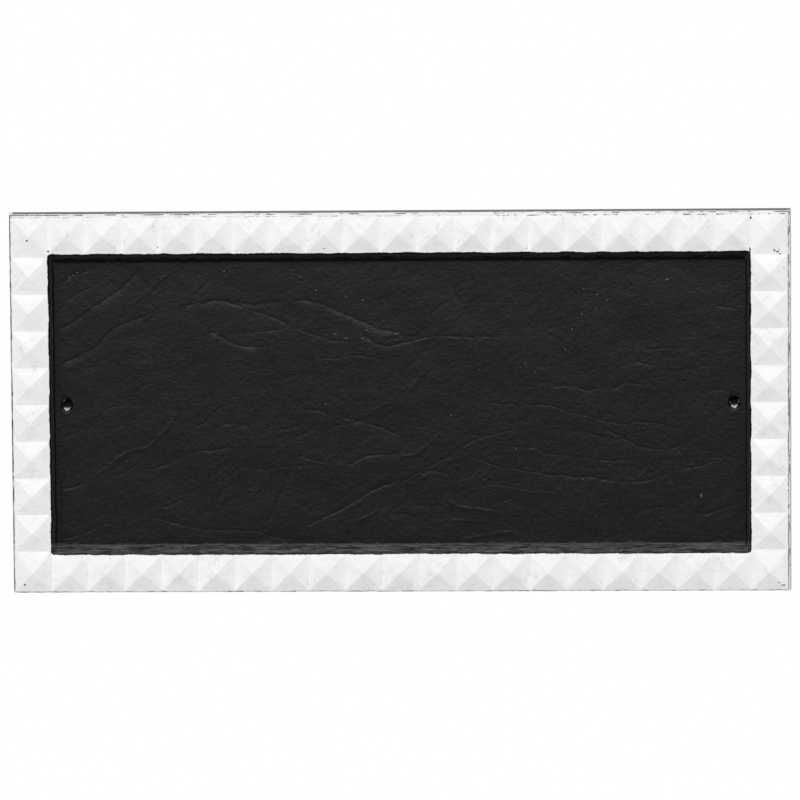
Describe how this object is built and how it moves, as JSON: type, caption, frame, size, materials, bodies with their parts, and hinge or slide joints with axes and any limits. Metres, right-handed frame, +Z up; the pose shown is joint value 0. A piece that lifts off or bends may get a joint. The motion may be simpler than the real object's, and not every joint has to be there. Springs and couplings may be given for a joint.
{
  "type": "address plaque",
  "caption": "Blank rectangular cast plaque with a border of square pyramid studs, a stepped sunk number field and a countersunk screw hole at each end.",
  "frame": {"origin": "centre of the flat back, where the plaque meets the wall", "axes": "the plaque faces -Y and its back faces +Y, +X runs along its width, +Z is up"},
  "size_m": [0.4042, 0.019, 0.1982],
  "materials": {
    "white_enamel": "satin white enamel over a black base coat, chipped along the edges",
    "black_enamel": "satin black enamel on creased cast metal"
  },
  "bodies": {
    "root": {"plaque": "white_enamel"}
  },
  "joints": []
}
